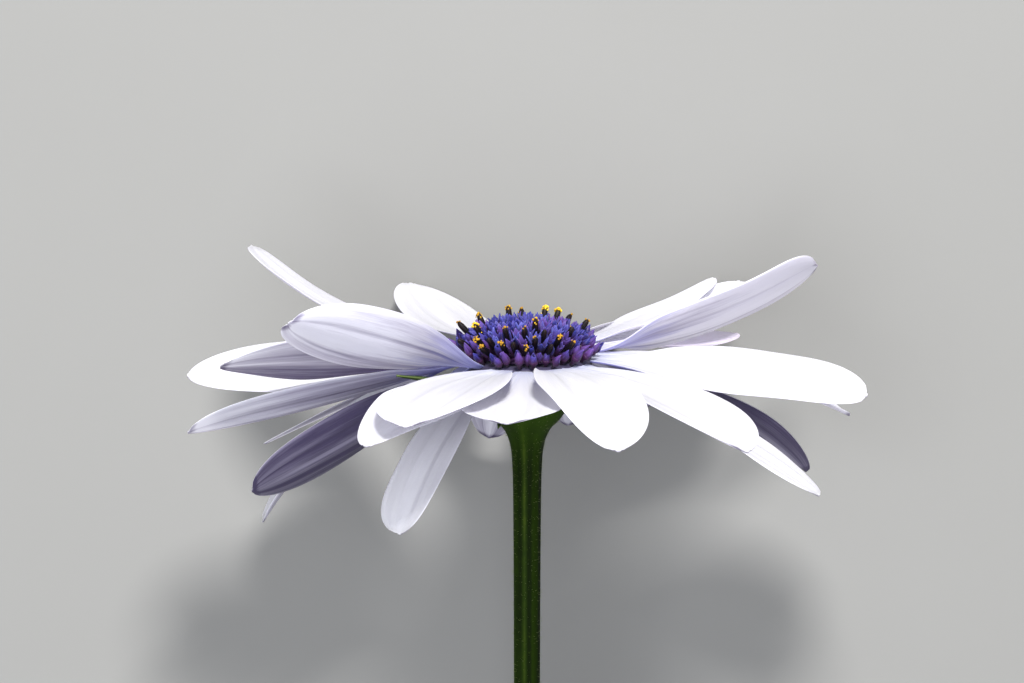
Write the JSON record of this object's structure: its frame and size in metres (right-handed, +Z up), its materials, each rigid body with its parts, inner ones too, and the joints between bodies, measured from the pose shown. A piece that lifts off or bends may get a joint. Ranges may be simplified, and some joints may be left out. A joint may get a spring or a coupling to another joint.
{
  "type": "cut daisy flower",
  "caption": "Single cut daisy on a bare stem, lying down: long white ray florets spread round a small domed blue-violet disc above a green cup of pointed bracts.",
  "frame": {"origin": "middle of the base of the bounding box, on the surface that the flower lies on", "axes": "+Z up from the surface; +Y along the stem from its cut end towards the head; +X to the right of the head as the picture shows it"},
  "size_m": [0.0698, 0.1336, 0.0651],
  "materials": {
    "petal": "matte",
    "disc_floret": "matte",
    "stem": "satin",
    "anther": "satin",
    "pollen": "matte"
  },
  "bodies": {
    "root": {"ray_florets": "petal", "disc_florets": "disc_floret", "stem_and_bracts": "stem"}
  },
  "joints": []
}
